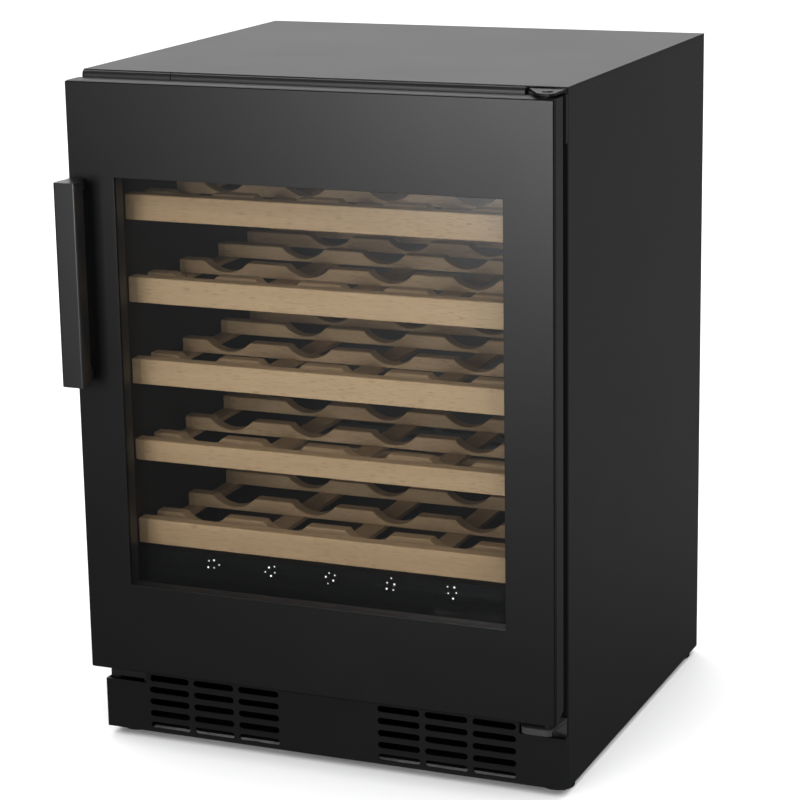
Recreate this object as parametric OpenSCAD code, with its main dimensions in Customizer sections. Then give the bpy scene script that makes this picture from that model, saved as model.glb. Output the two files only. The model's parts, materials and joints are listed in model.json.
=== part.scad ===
// Built-in wine cooler for a 600 mm kitchen gap: a steel cabinet on four levelling feet, a glazed door on
// two pin hinges with a bar handle, five wooden bottle shelves, touch controls under the lowest shelf, and
// the cooling machinery below and behind the cavity.
//
// Millimetres, +X right, +Y to the back, +Z up. The origin is on the floor, under the middle of the whole
// object, handle included. Every module is drawn with y = 0 at the cabinet's front plane, and in_place()
// carries it to its place.

/* [Cabinet] */
// Overall width of the cabinet and of the door
cabinet_w = 595; // [590:1:598]
// Height from the floor to the top panel's upper face
cabinet_h = 820; // [819:1:822]
// Depth of the side panels
cabinet_d = 524; // [522:1:560]
// Height of the nuts on the levelling feet
foot_h = 12; // [11:1:13]
// Thickness of the outer sheet steel
sheet_t = 1.2; // [1:0.1:1.4]
// Width of the folded returns along the side panels' front and rear edges
return_w = 12; // [10:1:12]

/* [Cavity] */
// Width between the liner's walls
cavity_w = 524; // [520:1:526]
// Height of the ceiling
ceiling_z = 782; // [776:1:784]
// Height of the deck over the machine compartment
deck_z = 238; // [234:1:240]
// Height of the floor of the front well that holds the controls
well_z = 165; // [160:1:170]
// Depth of the front well
well_d = 105; // [100:1:108]
// Depth of the cavity's rear wall
cavity_d = 470; // [468:1:472]
// Wall thickness of the moulded liner
liner_t = 2; // [1.5:0.5:2]

/* [Door] */
// Height of the door's lower edge
door_z0 = 100; // [99:1:101]
// Height of the door's upper edge
door_z1 = 812; // [811:1:812]
// Thickness of the door without its gasket
door_t = 34; // [34:1:36]
// Gap between the door and the cabinet, which the gasket fills
door_gap = 12; // [12:1:13]
// Width of the door's border beside the window
border_side = 59; // [56:1:62]
// Height of the door's border above and below the window
border_end = 110; // [106:1:114]
// Thickness of each glass pane
pane_t = 4; // [3:1:4]
// Gap between the two panes
pane_gap = 16; // [12:1:16]
// Distance of the hinge axis in from the cabinet's right side
hinge_inset = 14; // [13:0.5:15]
// Distance of the hinge axis in front of the cabinet
hinge_out = 26; // [25:0.5:27]

/* [Handle] */
// Width of the handle's bar
handle_w = 29; // [24:1:30]
// Length of the handle
handle_l = 241; // [200:1:300]
// Height of the handle's lower end
handle_z0 = 460; // [400:1:480]
// Distance from the door's front to the bar's front
handle_out = 45; // [45:1:45]
// Front-to-back thickness of the bar
bar_t = 20.5; // [16:0.5:24]

/* [Shelves] */
// Height of the top edge of the lowest shelf's front board
first_top = 276; // [275:1:277]
// Distance from one shelf to the next
shelf_pitch = 99.4; // [98:0.2:100]
// Height of a front board
board_h = 31; // [28:1:31]
// Height of the second shelf's front board, which is a slimmer one
slim_board_h = 26; // [26:1:31]
// Width of a shelf
shelf_w = 512; // [506:1:513]
// Depth of a shelf
shelf_d = 400; // [390:1:404]
// Distance between bottles that lie side by side
bottle_pitch = 108.7; // [104:0.1:110]
// Radius of the bottles that the cradles are cut for
bottle_r = 38; // [36:0.5:39]

/* [Plinth] */
// Slots in each row of one air grille
slot_cols = 3; // [2:1:3]
// Rows of slots in one air grille
slot_rows = 5; // [3:1:5]
// Length of a slot
slot_l = 53.5; // [40:0.5:54]
// Height of a slot
slot_h = 8; // [6:0.5:9]

/* [Hidden] */

$fn = 48;
BLACK_PAINT = [0.10, 0.10, 0.11];
SATIN_BLACK = [0.16, 0.16, 0.17];
BLACK_PLASTIC = [0.06, 0.06, 0.06];
RUBBER = [0.03, 0.03, 0.03];
STEEL = [0.62, 0.63, 0.65];
HINGE_PAINT = [0.20, 0.20, 0.21];
COPPER = [0.72, 0.42, 0.26];
BEECH = [0.78, 0.62, 0.44];
FOAM = [0.90, 0.82, 0.55];
GLASS = [0.35, 0.40, 0.42, 0.4];

half_w = cabinet_w / 2;
front_y = -(cabinet_d + door_gap + door_t + handle_out) / 2 + door_gap + door_t + handle_out;
roof_z = cabinet_h - sheet_t;             // underside of the top panel
door_front = -(door_gap + door_t);
door_back = -door_gap;
hinge_x = half_w - hinge_inset;
hinge_y = -hinge_out;
pin_r = 4;
running_gap = 0.05;                       // radial clearance of every running fit
skin_fold = 4;                            // depth of the fold round the door's front skin
window_x = half_w - border_side;
window_z0 = door_z0 + border_end;
window_z1 = door_z1 - border_end;
pane_lap = 11.5;                          // how far the panes reach behind the border
pane_y = door_front + sheet_t + 0.2;      // front face of the outer pane
shelf_y = 10;                             // front face of the shelves' boards
board_t = 18;
rack_h = 26;                              // depth of the rack below the board's top edge
ledge_t = 3;
frame_top = 815;                          // top of the front frame, which carries the upper hinge plate
trim_z0 = 803;                            // lower edge of the trim strip over the door
machine_z = 200;                          // underside of the insulation over the machine compartment
pan_z = foot_h + 2;                       // underside of the base pan
side_z = foot_h - 4;                      // lower edge of the side panels
plinth_z = foot_h - 1;                    // lower edge of the plinth
plinth_y = -12;                           // front face of the plinth
pan_t = 2;
pan_top = pan_z + pan_t;
handle_x0 = -half_w + 4;
post_w = 18;                              // width of a handle post
post_h = 16;                              // height of a handle post
post_x = handle_x0 + post_w / 2;
post_z = [handle_z0 + post_h / 2, handle_z0 + handle_l - post_h / 2];
foot_x = 275;
foot_y = [28, cabinet_d - 28];
stud_r = 5;
fan_z = 640;                              // height of the evaporator fan's axis
cover_y = 424;                            // front face of the evaporator cover
comp_x = 150;                             // place of the compressor
comp_y = 410;
drier_y = 255;                            // front end of the filter drier
drier_l = 68;
cfan_x = -30;                             // place of the condenser fan
cfan_y = 205;
cfan_z = pan_top + 59;
back_screw_x = 270;
back_screw_z = [60, 300, 540, 780];

module in_place() translate([0, front_y, 0]) children();
module slab(x0, x1, y0, y1, z0, z1) translate([x0, y0, z0]) cube([x1 - x0, y1 - y0, z1 - z0]);
module both_sides() {
  children();
  mirror([1, 0, 0]) children();
}
module rod_x(x0, x1, y, z, r) translate([x0, y, z]) rotate([0, 90, 0]) cylinder(r = r, h = x1 - x0);
module rod_y(x, y0, y1, z, r) translate([x, y0, z]) rotate([-90, 0, 0]) cylinder(r = r, h = y1 - y0);
module rod_z(x, y, z0, z1, r) translate([x, y, z0]) cylinder(r = r, h = z1 - z0);

// An upright rectangular ring round the window's middle: outer half width and heights, and wall widths.
module upright_ring(x, z0, z1, wall_x, wall_z, y0, y1) {
  difference() {
    slab(-x, x, y0, y1, z0, z1);
    slab(-x + wall_x, x - wall_x, y0 - 1, y1 + 1, z0 + wall_z, z1 - wall_z);
  }
}

// A tube of round section through a list of points, with a slightly thicker joint at each bend.
module pipe(points, r) {
  for (i = [0 : len(points) - 2]) {
    run = points[i + 1] - points[i];
    length = norm(run);
    translate(points[i]) rotate([0, acos(run.z / length), atan2(run.y, run.x)]) cylinder(r = r, h = length);
    if (i > 0) translate(points[i]) sphere(r = r + 0.5);
  }
}

// ---------------------------------------------------------------- cabinet

module side_panel(side) color(BLACK_PAINT) in_place() mirror([side < 0 ? 1 : 0, 0, 0]) {
  slab(half_w - sheet_t, half_w, 0, cabinet_d, side_z, roof_z);
  slab(half_w - return_w, half_w - sheet_t, 0, sheet_t, side_z, frame_top - 0.5);
  slab(half_w - return_w, half_w - sheet_t, cabinet_d - sheet_t, cabinet_d, side_z, roof_z);
}

module top_panel() color(BLACK_PAINT) in_place()
  slab(-half_w, half_w, 0, cabinet_d, roof_z, cabinet_h);

// The back panel closes the rear between the side panels' returns. Slots let the machine compartment
// breathe, and a square hole takes the power inlet.
module back_panel() color(BLACK_PAINT) in_place() {
  y0 = cabinet_d - 2 * sheet_t;
  difference() {
    slab(-half_w + sheet_t, half_w - sheet_t, y0, y0 + sheet_t, pan_top, roof_z);
    for (row = [0 : 5]) for (x = [-20 : 60 : 220])
      slab(x - 24, x + 24, y0 - 1, y0 + 3, 60 + 18 * row, 66 + 18 * row);
    slab(-216, -184, y0 - 1, y0 + 3, 118, 144);
    both_sides() for (z = back_screw_z) rod_y(back_screw_x, y0 - 1, y0 + 3, z, 2.2);
  }
}

// The base pan carries the compressor, the fan and the feet, whose studs turn in its four bosses.
module base_pan() color(BLACK_PAINT) in_place() {
  difference() {
    union() {
      slab(-half_w + sheet_t, half_w - sheet_t, 2, cabinet_d - 2 * sheet_t, pan_z, pan_top);
      both_sides() slab(half_w - 2 * sheet_t, half_w - sheet_t, 2, cabinet_d - 2 * sheet_t, pan_top, 40);
      both_sides() for (y = foot_y) rod_z(foot_x, y, pan_top, pan_top + 10, 9);
    }
    both_sides() for (y = foot_y) rod_z(foot_x, y, pan_z - 1, pan_top + 11, stud_r + running_gap);
  }
}

// The steel face that the gasket closes on. Its foot has a slot for a hinge on the left-hand side, which
// is not in use, its lower rail is cut away behind the air grilles, and its top turns back to carry the
// upper hinge plate.
module front_frame() color(BLACK_PAINT) in_place() {
  x = half_w - return_w;
  difference() {
    slab(-x, x, 0, sheet_t, 62, frame_top);
    slab(-cavity_w / 2, cavity_w / 2, -1, sheet_t + 1, well_z, ceiling_z);
    slab(-x + 1, -x + 34, -1, sheet_t + 1, 66, 73.5);
    slab(-242, 242, -1, sheet_t + 1, 61, 90);
  }
  slab(-x, x, sheet_t, 40, frame_top - sheet_t, frame_top);
}

// The moulded liner: the bottle cavity over the deck, and a well in front of the deck for the controls.
module inner_liner() color(BLACK_PLASTIC) in_place() {
  x = cavity_w / 2;
  difference() {
    union() {
      slab(-x - liner_t, x + liner_t, sheet_t, cavity_d + liner_t, deck_z - liner_t, ceiling_z + liner_t);
      slab(-x - liner_t, x + liner_t, sheet_t, well_d + liner_t, well_z - liner_t, deck_z);
    }
    slab(-x, x, 0, cavity_d, deck_z, ceiling_z);
    slab(-x, x, 0, well_d, well_z, deck_z + 1);
  }
}

module foam_insulation() color(FOAM) in_place() {
  x = cavity_w / 2 + liner_t;
  w = half_w - sheet_t - 0.3;
  y0 = sheet_t + 0.3;
  difference() {
    union() {
      slab(-w, w, y0, cabinet_d - 3, machine_z, 813.4);
      slab(-w, w, y0, well_d + 40, well_z - 38, machine_z);
    }
    slab(-x, x, 0, cavity_d + liner_t, deck_z - liner_t, ceiling_z + liner_t);
    slab(-x, x, 0, well_d + liner_t, well_z - liner_t, deck_z);
  }
}

// Section of the trim strip over the door: its upper front edge is well rounded.
module trim_section() {
  depth = 9;
  nose = depth / 2;
  translate([-depth, trim_z0]) square([depth, roof_z - nose - trim_z0]);
  translate([-nose, trim_z0]) square([nose, roof_z - trim_z0]);
  translate([-nose, roof_z - nose]) circle(r = nose);
}
module trim(x0, x1) translate([x0, 0, 0]) rotate([90, 0, 90]) linear_extrude(x1 - x0) trim_section();

module top_trim_strip() color(BLACK_PLASTIC) in_place() trim(-179.5, 251.3);
module left_hinge_cover() color(BLACK_PLASTIC) in_place() {
  intersection() {
    trim(-half_w + 1, -180.3);
    union() {
      slab(-half_w + 7, -180, -10, 1, 800, 820);
      rod_z(-half_w + 7, -3, 800, 820, 6.5);
    }
  }
}

// Steel corners that stand proud of the cabinet's front edge beside the top of the door.
module corner_brackets() color(BLACK_PAINT) in_place() {
  slab(half_w - 13, half_w, -7, 0, 759, 812);
  slab(-half_w, -half_w + 13, -7, 0, 759, 802.5);
}

// ---------------------------------------------------------------- hinges and fasteners

module top_hinge_plate() color(BLACK_PAINT) in_place() {
  difference() {
    translate([0, 0, frame_top]) linear_extrude(3)
      polygon([[242, 38], [242, 2], [252, 0], [276, -40], [281, -43], [291, -43], [295, -38], [296, -2],
               [295, 0], [295, 38]]);
    rod_z(hinge_x, hinge_y, frame_top - 1, frame_top + 4, pin_r);
    for (x = [252, 286]) rod_z(x, 24, frame_top - 1, frame_top + 4, 2.2);
  }
}

// The lower bracket: a plate under the door with a lip along its front edge, a flange screwed to the front
// frame and a gusset between.
module bottom_hinge_bracket() color(HINGE_PAINT) in_place() {
  difference() {
    union() {
      translate([0, 0, 92]) linear_extrude(3)
        polygon([[243, 0], [243, -12], [256, -42], [262, -45], [288, -45], [292, -41], [296, -8], [296, 0]]);
      translate([0, 0, 87.5]) linear_extrude(7.5)
        polygon([[256, -42], [262, -45], [288, -45], [292, -41], [290, -38.5], [287, -42], [263, -42],
                 [258, -39.5]]);
      slab(243, 296, -3, 0, 76, 92);
      translate([293, 0, 0]) rotate([90, 0, 90]) linear_extrude(3) polygon([[-3, 76], [-3, 92], [-36, 92]]);
    }
    rod_z(hinge_x, hinge_y, 91, 96, pin_r);
    for (x = [252, 278]) rod_y(x, -4, 1, 84, 2.5);
  }
}

module hinge_pins() color(STEEL) in_place() {
  rod_z(hinge_x, hinge_y, 796, 818, pin_r);
  rod_z(hinge_x, hinge_y, 818, 819.5, 6);
  rod_z(hinge_x, hinge_y, 92, 114, pin_r);
  rod_z(hinge_x, hinge_y, 95, 98.2, 8);
}

// A pan-head screw with a cross recess, pointing into the face behind it.
module pan_screw(x, y, z, head_r = 5, head_h = 2.4, shank_r = 2, shank_l = 8) {
  translate([x, y, z]) rotate([90, 0, 0]) difference() {
    union() {
      cylinder(r = head_r, h = head_h);
      translate([0, 0, -shank_l]) cylinder(r = shank_r, h = shank_l);
    }
    for (turn = [0, 90]) rotate(turn) translate([-head_r * 0.55, -0.5, head_h - 0.9])
      cube([head_r * 1.1, 1, 2]);
  }
}

module cabinet_screws() color(STEEL) in_place() {
  for (x = [252, 278]) pan_screw(x, -3, 84, shank_r = 2.4, shank_l = 3);
  both_sides() for (z = back_screw_z) translate([back_screw_x, cabinet_d - sheet_t, z]) rotate(180)
    pan_screw(0, 0, 0, head_r = 4, head_h = 1.1, shank_l = sheet_t);
}

// ---------------------------------------------------------------- plinth and feet

module slot(x, z) {
  reach = (slot_l - slot_h) / 2;
  slab(x - reach, x + reach, plinth_y - 1, plinth_y + 3, z - slot_h / 2, z + slot_h / 2);
  for (side = [-1, 1]) rod_y(x + side * reach, plinth_y - 1, plinth_y + 3, z, slot_h / 2);
}

// The kick plate: low at its ends, where the hinges are, and taller between them. The left grille draws
// air in and the right one lets it out. Its folded ends lie against the side panels.
module plinth_grille() color(BLACK_PAINT) in_place() {
  pitch_x = slot_l + 6.5;
  pitch_z = 15.1;
  y = plinth_y;
  difference() {
    union() {
      slab(-half_w, half_w, y, y + 2, plinth_z, 73);
      slab(-242, 242, y, y + 2, 73, 97);
      both_sides() slab(half_w - 1.5, half_w, y + 2, 0, plinth_z, 73);
      both_sides() slab(half_w - return_w, half_w - 1.5, -1.2, 0, plinth_z, 73);
      slab(-half_w + return_w + 4, half_w - return_w - 4, y + 2, -2, plinth_z, plinth_z + 1.5);
    }
    both_sides() for (col = [0 : slot_cols - 1]) for (row = [0 : slot_rows - 1])
      slot(151 + (col - (slot_cols - 1) / 2) * pitch_x, 80.5 - row * pitch_z);
  }
}

// A levelling foot: a round pad, a hexagon for the spanner, and a stud that turns in the base pan.
module foot(side, row) color(RUBBER) in_place() {
  x = side * foot_x;
  y = foot_y[row];
  rod_z(x, y, 0, 7, 20);
  rod_z(x, y, 7, 9, 17);
  translate([x, y, 9]) cylinder(r = 9, h = 3, $fn = 6);
  rod_z(x, y, 12, 34, stud_r);
}

// ---------------------------------------------------------------- cavity

// One side's five runners: a ledge under each rack, and the flange that fixes it to the liner.
module shelf_rails(side) color(BLACK_PLASTIC) in_place() mirror([side < 0 ? 1 : 0, 0, 0]) {
  x = cavity_w / 2;
  for (i = [0 : 4]) {
    z = first_top + i * shelf_pitch - rack_h - 0.3;
    slab(x - 12, x - 0.2, 30, 420, z - ledge_t, z);
    slab(x - 2.2, x - 0.2, 30, 420, z, z + 14);
  }
}

// The rear wall of the bottle space. The fan blows through the round grille, and air returns below.
module evaporator_cover() color(BLACK_PLASTIC) in_place() {
  x = cavity_w / 2 - 3;
  difference() {
    union() {
      slab(-x, x, cover_y, cover_y + 2.5, deck_z + 3, ceiling_z - 3);
      both_sides() slab(x - 2.5, x, cover_y + 2.5, cavity_d - 0.3, deck_z + 3, ceiling_z - 3);
    }
    for (i = [-4 : 4]) {
      half = sqrt(54 * 54 - pow(11 * i, 2)) - 1;
      slab(-half, half, cover_y - 1, cover_y + 3, fan_z + 11 * i - 3, fan_z + 11 * i + 3);
    }
    for (row = [0 : 3]) for (col = [-3 : 3])
      slab(col * 60 - 24, col * 60 + 24, cover_y - 1, cover_y + 3, 262 + 12 * row, 267 + 12 * row);
  }
}

// Plate-fin evaporator with three passes of tube.
module evaporator_coil() color(STEEL) in_place() {
  y = cavity_d - 11;
  for (i = [-10 : 10]) slab(i * 18 - 0.5, i * 18 + 0.5, y - 10, y + 10, 320, 500);
  for (z = [350, 410, 470]) rod_x(-198, 198, y, z, 4);
  translate([196, y, 380]) rotate([90, 0, 0]) half_ring(30, 4.5);
  translate([-196, y, 440]) rotate([90, 180, 0]) half_ring(30, 4.5);
}

// Half of a tube bend, on the +X side of the Z axis.
module half_ring(ring_r, tube_r) {
  reach = ring_r + tube_r + 1;
  difference() {
    rotate_extrude() translate([ring_r, 0]) circle(r = tube_r);
    translate([-reach, -reach, -tube_r - 1]) cube([reach, 2 * reach, 2 * tube_r + 2]);
  }
}

module fan_blades(count, r0, r1, chord, tilt) {
  for (i = [0 : count - 1]) rotate(i * 360 / count) translate([0, (r0 + r1) / 2, 0]) rotate([0, tilt, 0])
    translate([-chord / 2, -(r1 - r0) / 2, -0.8]) cube([chord, r1 - r0, 1.6]);
}

// A square fan frame with a round throat and a motor on four arms, drawn along +Z behind z = 0.
module fan_frame(size, throat_r, depth, motor_r) {
  difference() {
    translate([-size / 2, -size / 2, 0]) cube([size, size, depth]);
    translate([0, 0, -1]) cylinder(r = throat_r, h = depth + 2);
  }
  difference() {
    union() {
      translate([0, 0, depth - 6]) cylinder(r = motor_r, h = 6);
      for (turn = [45, 135]) rotate(turn) translate([-throat_r - 2, -2.5, depth - 3])
        cube([2 * throat_r + 4, 5, 3]);
    }
    translate([0, 0, depth - 7]) cylinder(r = 2 + running_gap, h = 8);
  }
}

module fan_rotor(throat_r, depth, hub_r) {
  translate([0, 0, 3]) cylinder(r = hub_r, h = depth - 11);
  translate([0, 0, depth - 8]) cylinder(r = 2, h = 7);
  translate([0, 0, depth / 2 - 2]) fan_blades(7, hub_r - 1, throat_r - 3, 17, 28);
}

module evaporator_fan_frame() color(BLACK_PLASTIC) in_place()
  translate([0, cover_y + 2.5, fan_z]) rotate([-90, 0, 0]) fan_frame(120, 56, 26, 19);
module evaporator_fan_rotor() color(SATIN_BLACK) in_place()
  translate([0, cover_y + 2.5, fan_z]) rotate([-90, 0, 0]) fan_rotor(56, 26, 18);

module carbon_filter() color(BLACK_PLASTIC) in_place() {
  difference() {
    rod_y(-190, cover_y - 7, cover_y, 726, 27);
    for (turn = [0 : 45 : 315]) translate([-190, cover_y - 8, 726]) rotate([0, turn, 0])
      slab(8, 22, 0, 4, -1.5, 1.5);
  }
}

module temperature_sensor() color(SATIN_BLACK) in_place() {
  rod_y(205, cover_y - 3, cover_y, 500, 11);
  rod_y(205, cover_y - 12, cover_y - 3, 500, 6);
}

module light_bar() color([0.9, 0.9, 0.85]) in_place() slab(-210, 210, 34, 50, ceiling_z - 6, ceiling_z - 0.2);

// The black box across the well under the lowest shelf. It holds the display board and its ribbon.
module control_console() color(BLACK_PLASTIC) in_place() {
  x = cavity_w / 2 - 1;
  difference() {
    slab(-x, x, 17.2, well_d - 1, well_z + 0.3, deck_z);
    slab(-x + 3, x - 3, 16, well_d - 4, well_z + 3, deck_z - 3);
  }
}
module control_fascia() color([0.02, 0.02, 0.02]) in_place() {
  x = cavity_w / 2 - 1;
  slab(-x, x, 14, 17, well_z + 0.3, deck_z);
}

// ---------------------------------------------------------------- machine compartment

module compressor() color(BLACK_PAINT) in_place() {
  translate([comp_x, comp_y, pan_top + 12]) {
    rotate_extrude() {
      square([44, 134]);
      translate([0, 22]) square([62, 90]);
      translate([0, 62]) square([64, 4]);
      translate([40, 22]) circle(r = 22);
      translate([40, 112]) circle(r = 22);
    }
    difference() {
      union() {
        translate([-90, -52, 0]) cube([34, 104, 3]);
        translate([56, -52, 0]) cube([34, 104, 3]);
        translate([-60, -14, 0]) cube([120, 28, 3]);
      }
      for (x = [-77, 77]) for (y = [-38, 38]) translate([x, y, -1]) cylinder(r = 6.1, h = 5);
    }
    translate([-26, -74, 50]) cube([52, 20, 44]);
  }
}

module compressor_grommets() color(RUBBER) in_place() {
  for (x = [-77, 77]) for (y = [-38, 38]) translate([comp_x + x, comp_y + y, pan_top]) {
    difference() {
      union() {
        cylinder(r = 11, h = 12);
        cylinder(r = 6, h = 17);
        translate([0, 0, 15.2]) cylinder(r = 9, h = 3);
      }
      translate([0, 0, -1]) cylinder(r = 3, h = 22);
    }
  }
}

// Fin-and-tube condenser behind the left grille.
module condenser_coil() color(STEEL) in_place() {
  for (i = [0 : 18]) slab(-250 + i * 9, -249.2 + i * 9, 160, 250, pan_top, 118);
  for (z = [40, 70, 100]) rod_x(-258, -80, 205, z, 4);
  translate([-82, 205, 55]) rotate([90, 0, 0]) half_ring(15, 4.5);
  translate([-256, 205, 85]) rotate([90, 180, 0]) half_ring(15, 4.5);
}

module condenser_fan_shroud() color(BLACK_PLASTIC) in_place() {
  translate([cfan_x, cfan_y, cfan_z]) rotate([0, 90, 0]) fan_frame(118, 54, 28, 20);
}
module condenser_fan_rotor() color(SATIN_BLACK) in_place()
  translate([cfan_x, cfan_y, cfan_z]) rotate([0, 90, 0]) fan_rotor(54, 28, 18);

// The tray on the compressor, where meltwater dries off.
module drip_tray() color(BLACK_PLASTIC) in_place() {
  z = pan_top + 12 + 134;
  difference() {
    slab(comp_x - 70, comp_x + 70, comp_y - 60, comp_y + 60, z, z + 22);
    slab(comp_x - 68, comp_x + 68, comp_y - 58, comp_y + 58, z + 2, z + 23);
  }
}

module electronics_box() color(BLACK_PLASTIC) in_place() {
  slab(-262, -150, 330, 470, pan_top, 96);
  slab(-266, -146, 326, 474, 96, 102);
}

// The socket that a mains lead plugs into, set flush in the back panel.
module power_inlet() color(BLACK_PLASTIC) in_place() {
  difference() {
    slab(-215.5, -184.5, 498, cabinet_d - 0.4, 118.5, 143.5);
    slab(-211, -189, 504, cabinet_d + 1, 123, 139);
  }
  for (x = [-206, -200, -194]) slab(x - 1, x + 1, 503, 513, x == -200 ? 127 : 130, x == -200 ? 131 : 134);
}

module refrigerant_pipes() color(COPPER) in_place() {
  // discharge line from the compressor to the condenser's upper pass
  pipe([[comp_x - 62, comp_y, 60], [comp_x - 82, comp_y, 60], [comp_x - 82, 300, 60], [-68, 300, 100],
        [-68, 205, 100], [-80, 205, 100]], 3);
  // suction line up the rear wall to the evaporator
  pipe([[comp_x, comp_y + 62, 80], [comp_x, 500, 80], [comp_x, 500, 190]], 4);
  // from the condenser's lower pass to the drier, and on to the capillary
  pipe([[-258, 205, 40], [-270, 205, 40], [-270, drier_y, 40]], 3);
  pipe([[-270, drier_y + drier_l, 40], [-270, 500, 40], [-60, 500, 190]], 2);
}

module filter_drier() color(COPPER) in_place() {
  translate([-270, drier_y, 40]) rotate([-90, 0, 0]) rotate_extrude()
    polygon([[0, 0], [3, 0], [3, 8], [10, 16],
             [10, drier_l - 16], [3, drier_l - 8], [3, drier_l], [0, drier_l]]);
}

// ---------------------------------------------------------------- door

// Black steel skin, folded back all round and pierced for the window.
module door_skin() color(BLACK_PAINT) in_place() {
  difference() {
    slab(-half_w, half_w, door_front, door_front + skin_fold, door_z0, door_z1);
    slab(-half_w + sheet_t, half_w - sheet_t, door_front + sheet_t, door_front + skin_fold + 1,
         door_z0 + sheet_t, door_z1 - sheet_t);
    slab(-window_x, window_x, door_front - 1, door_front + skin_fold, window_z0, window_z1);
    handle_holes();
  }
}

// Holes for the two handle screws, from inside the posts to the counterbores in the door's back.
module handle_holes() for (z = post_z) {
  rod_y(post_x, door_front - 8, door_back + 1, z, 2.6);
  rod_y(post_x, door_back - 4, door_back + 1, z, 5.5);
}

// The moulded door body. A shadow groove runs behind the skin, the glazing sits in a pocket from the
// front, and the hinge side is relieved so that it clears the cabinet as the door turns.
module door_frame() color(BLACK_PLASTIC) in_place() {
  groove_x = half_w - 3.5;
  relief = 5;
  rear_step = 7;                            // how far the opening behind the panes is set back
  difference() {
    union() {
      slab(-half_w + sheet_t + 0.2, half_w - sheet_t - 0.2, pane_y, door_front + skin_fold,
           door_z0 + sheet_t + 0.2, door_z1 - sheet_t - 0.2);
      slab(-groove_x, groove_x, door_front + skin_fold, door_front + skin_fold + 2,
           door_z0 + 3.5, door_z1 - 3.5);
      slab(-half_w, half_w, door_front + skin_fold + 2, door_back, door_z0, door_z1);
    }
    slab(-window_x - pane_lap - 0.5, window_x + pane_lap + 0.5,
         pane_y - 1, pane_y + 2 * pane_t + pane_gap + 0.3,
         window_z0 - pane_lap - 0.5, window_z1 + pane_lap + 0.5);
    slab(-window_x - rear_step, window_x + rear_step, pane_y, door_back + 1,
         window_z0 - rear_step, window_z1 + rear_step);
    translate([half_w, door_back, door_z0 - 1]) rotate(45)
      translate([-relief * sqrt(2) / 2, -20, 0]) cube([20, 40, door_z1 - door_z0 + 2]);
    translate([291.5, 0, 0]) rotate([90, 0, 90]) linear_extrude(10)
      polygon([[-11, 99], [-11, 114], [-12, 114], [-38, 100], [-38, 99]]);
    rod_z(hinge_x, hinge_y, 99, 117, 7.1);
    rod_z(hinge_x, hinge_y, 793, 813, 7.1);
    handle_holes();
  }
}

// One sheet of glass, which laps behind the edges of the window.
module pane(y) slab(-window_x - pane_lap, window_x + pane_lap, y, y + pane_t,
                    window_z0 - pane_lap, window_z1 + pane_lap);
module outer_glass() color(GLASS) in_place() pane(pane_y + 0.1);
module inner_glass() color(GLASS) in_place() pane(pane_y + 0.1 + pane_t + pane_gap);
module glass_spacer() color(BLACK_PLASTIC) in_place() {
  x = window_x + pane_lap - 1;
  y0 = pane_y + 0.1 + pane_t;
  upright_ring(x, window_z0 - pane_lap + 1, window_z1 + pane_lap - 1, 9.5, 9.5, y0, y0 + pane_gap);
}

// Magnetic gasket: a base on the door, a narrow bellows and a wider magnet bead.
module door_gasket() color(RUBBER) in_place() {
  x = hinge_x - 1.5;
  z0 = 113;
  z1 = 799;
  upright_ring(x, z0, z1, 14, 14, door_back, -9);
  upright_ring(x - 3.5, z0 + 3.5, z1 - 3.5, 7, 7, -9, -6);
  upright_ring(x - 0.5, z0 + 0.5, z1 - 0.5, 13, 13, -6, -0.4);
}

// The pull: a bar with rounded front edges on two posts that are flush with its ends.
module handle_bar() color(SATIN_BLACK) in_place() {
  y0 = door_front - handle_out;
  r = 4;
  translate([0, 0, handle_z0]) linear_extrude(handle_l) {
    translate([handle_x0, y0 + r]) square([handle_w, bar_t - r]);
    translate([handle_x0 + r, y0]) square([handle_w - 2 * r, r + 1]);
    for (x = [handle_x0 + r, handle_x0 + handle_w - r]) translate([x, y0 + r]) circle(r = r);
  }
  difference() {
    for (z = post_z)
      slab(handle_x0, handle_x0 + post_w, y0 + bar_t, door_front, z - post_h / 2, z + post_h / 2);
    handle_holes();
  }
}

module handle_screws() color(STEEL) in_place() {
  for (z = post_z) {
    rod_y(post_x, door_front - 8, door_back - 4, z, 2.5);
    rod_y(post_x, door_back - 4, door_back - 1.5, z, 5);
  }
}

module bush(z0, z1) difference() {
  rod_z(hinge_x, hinge_y, z0, z1, 7);
  rod_z(hinge_x, hinge_y, z0 - 1, z1 + 1, pin_r + running_gap);
}
module hinge_bushes() color(BLACK_PLASTIC) in_place() {
  bush(794, door_z1);
  bush(door_z0, 116);
  difference() {
    union() {
      rod_z(hinge_x, hinge_y, door_z1, door_z1 + 1, 9);
      rod_z(hinge_x, hinge_y, door_z0 - 1.5, door_z0, 9);
    }
    rod_z(hinge_x, hinge_y, 90, 820, pin_r + running_gap);
  }
}

// ---------------------------------------------------------------- shelves

function board_top(i) = first_top + (i - 1) * shelf_pitch;

// The front board of shelf i, counted from the bottom.
module shelf_board(i) color(BEECH) in_place() {
  h = i == 2 ? slim_board_h : board_h;
  slab(-shelf_w / 2, shelf_w / 2, shelf_y, shelf_y + board_t, board_top(i) - h, board_top(i));
}

// Bottles lie in two rows, with their bases to the front and to the back in turn, so the front cross bars
// are cut for one row and the rear bars for the other, half a pitch away.
module cross_bar(y, z, row_shift) {
  difference() {
    slab(-shelf_w / 2 + 3, shelf_w / 2 - 3, y, y + 18, z - 20, z - 3);
    for (k = [0 : 3]) {
      x = (k - 1.5) * bottle_pitch + row_shift;
      rod_y(x, y - 1, y + 19, z - 16 + bottle_r + 0.5, bottle_r + 0.5);
    }
  }
}

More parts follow.
